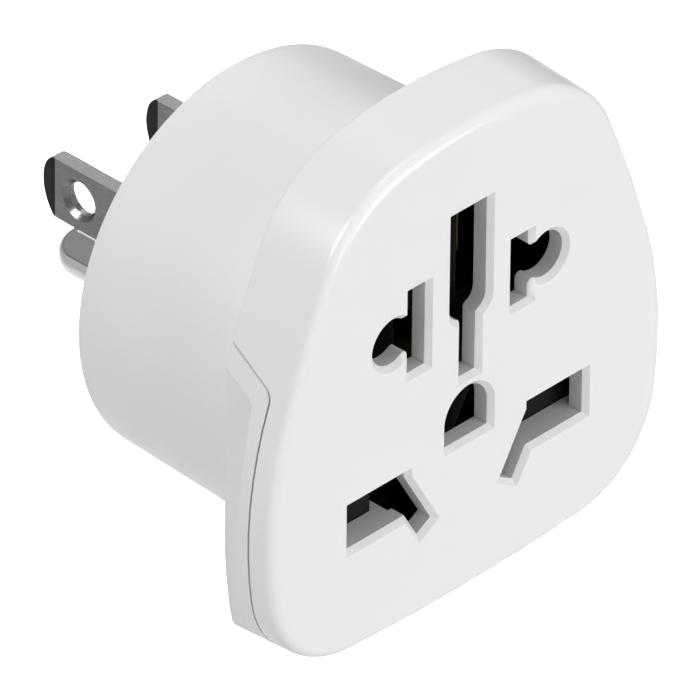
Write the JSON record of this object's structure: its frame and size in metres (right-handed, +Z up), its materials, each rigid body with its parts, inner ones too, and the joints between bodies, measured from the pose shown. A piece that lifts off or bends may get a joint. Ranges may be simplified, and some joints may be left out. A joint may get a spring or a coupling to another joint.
{
  "type": "universal travel adapter",
  "caption": "Travel adapter with a multi-standard shuttered socket face on a flared plate, a round barrel, two flat blades and a round earth pin.",
  "frame": {"origin": "centre of the flat back of the barrel, the face that rests against the wall outlet", "axes": "+Z up as the socket face is read, +Y the way the blades and the earth pin leave, socket face towards -Y"},
  "size_m": [0.0492, 0.0493, 0.0494],
  "materials": {
    "cover_plastic": "glossy white moulding",
    "housing_plastic": "satin white moulding",
    "carrier_plastic": "black insulating moulding",
    "shutter_plastic": "dark grey sliding moulding",
    "contact_brass": "stamped spring brass",
    "nickel_plate": "nickel-plated brass",
    "steel": "zinc-plated steel"
  },
  "bodies": {
    "body": {"front_cover": "cover_plastic", "rear_housing": "housing_plastic", "contact_carrier": "carrier_plastic", "neutral_bus_bar": "contact_brass", "live_bus_bar": "contact_brass", "earth_bus_bar": "contact_brass", "neutral_upper_clip": "contact_brass", "live_upper_clip": "contact_brass", "neutral_lower_clip": "contact_brass", "live_lower_clip": "contact_brass", "earth_upper_clip": "contact_brass", "earth_middle_clip": "contact_brass", "earth_lower_clip": "contact_brass", "contact_rivets": "contact_brass", "neutral_blade": "nickel_plate", "live_blade": "nickel_plate", "ground_pin": "nickel_plate", "neutral_shutter_spring": "steel", "live_shutter_spring": "steel", "carrier_screws": "steel", "housing_screws": "steel"},
    "neutral_shutter": {"neutral_shutter": "shutter_plastic"},
    "live_shutter": {"live_shutter": "shutter_plastic"}
  },
  "joints": [
    {"name": "neutral_shutter_slide", "type": "slide", "parent": "body", "child": "neutral_shutter", "axis": [0, 0, -1], "range_m": [0, 0.005], "stiffness_N_per_m": 30, "springref_m": -0.004, "deforming": ["neutral_shutter_spring"]},
    {"name": "live_shutter_slide", "type": "slide", "parent": "body", "child": "live_shutter", "axis": [0, 0, -1], "range_m": [0, 0.005], "stiffness_N_per_m": 30, "springref_m": -0.004, "deforming": ["live_shutter_spring"]}
  ]
}
